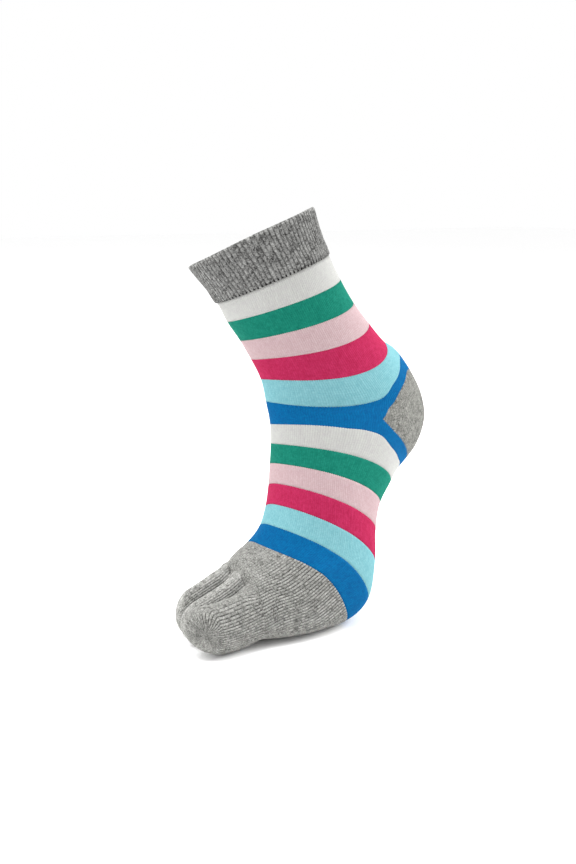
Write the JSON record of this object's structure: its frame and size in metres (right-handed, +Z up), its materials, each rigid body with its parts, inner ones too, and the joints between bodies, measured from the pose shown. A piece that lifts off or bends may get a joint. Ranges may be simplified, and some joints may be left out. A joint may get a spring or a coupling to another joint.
{
  "type": "toe sock",
  "caption": "Knitted toe sock with a ribbed cuff, striped leg and foot, a heel pocket and separate toe pockets.",
  "frame": {"origin": "centre of the ankle, inside the sock, halfway up the sock", "axes": "+Z up the leg, -X towards the toes, -Y towards the inner side of the right foot"},
  "size_m": [0.1955, 0.1141, 0.2585],
  "materials": {
    "grey_rib": "mélange grey cotton, one-by-one rib",
    "grey_knit": "mélange grey cotton, plain knit",
    "white_knit": "white cotton, fine plain knit",
    "green_knit": "green cotton, fine plain knit",
    "pink_knit": "light pink cotton, fine plain knit",
    "magenta_knit": "magenta cotton, fine plain knit",
    "aqua_knit": "light aqua cotton, fine plain knit",
    "blue_knit": "blue cotton, fine plain knit"
  },
  "bodies": {
    "root": {"cuff": "grey_rib", "leg_white": "white_knit", "leg_green": "green_knit", "leg_pink": "pink_knit", "leg_magenta": "magenta_knit", "leg_aqua": "aqua_knit", "ankle_band": "blue_knit", "heel": "grey_knit", "foot_white": "white_knit", "foot_green": "green_knit", "foot_pink": "pink_knit", "foot_magenta": "magenta_knit", "foot_aqua": "aqua_knit", "foot_blue": "blue_knit", "forefoot": "grey_knit", "toe_pocket_1": "grey_knit", "toe_pocket_2": "grey_knit", "toe_pocket_3": "grey_knit", "toe_pocket_4": "grey_knit", "toe_pocket_5": "grey_knit"}
  },
  "joints": []
}
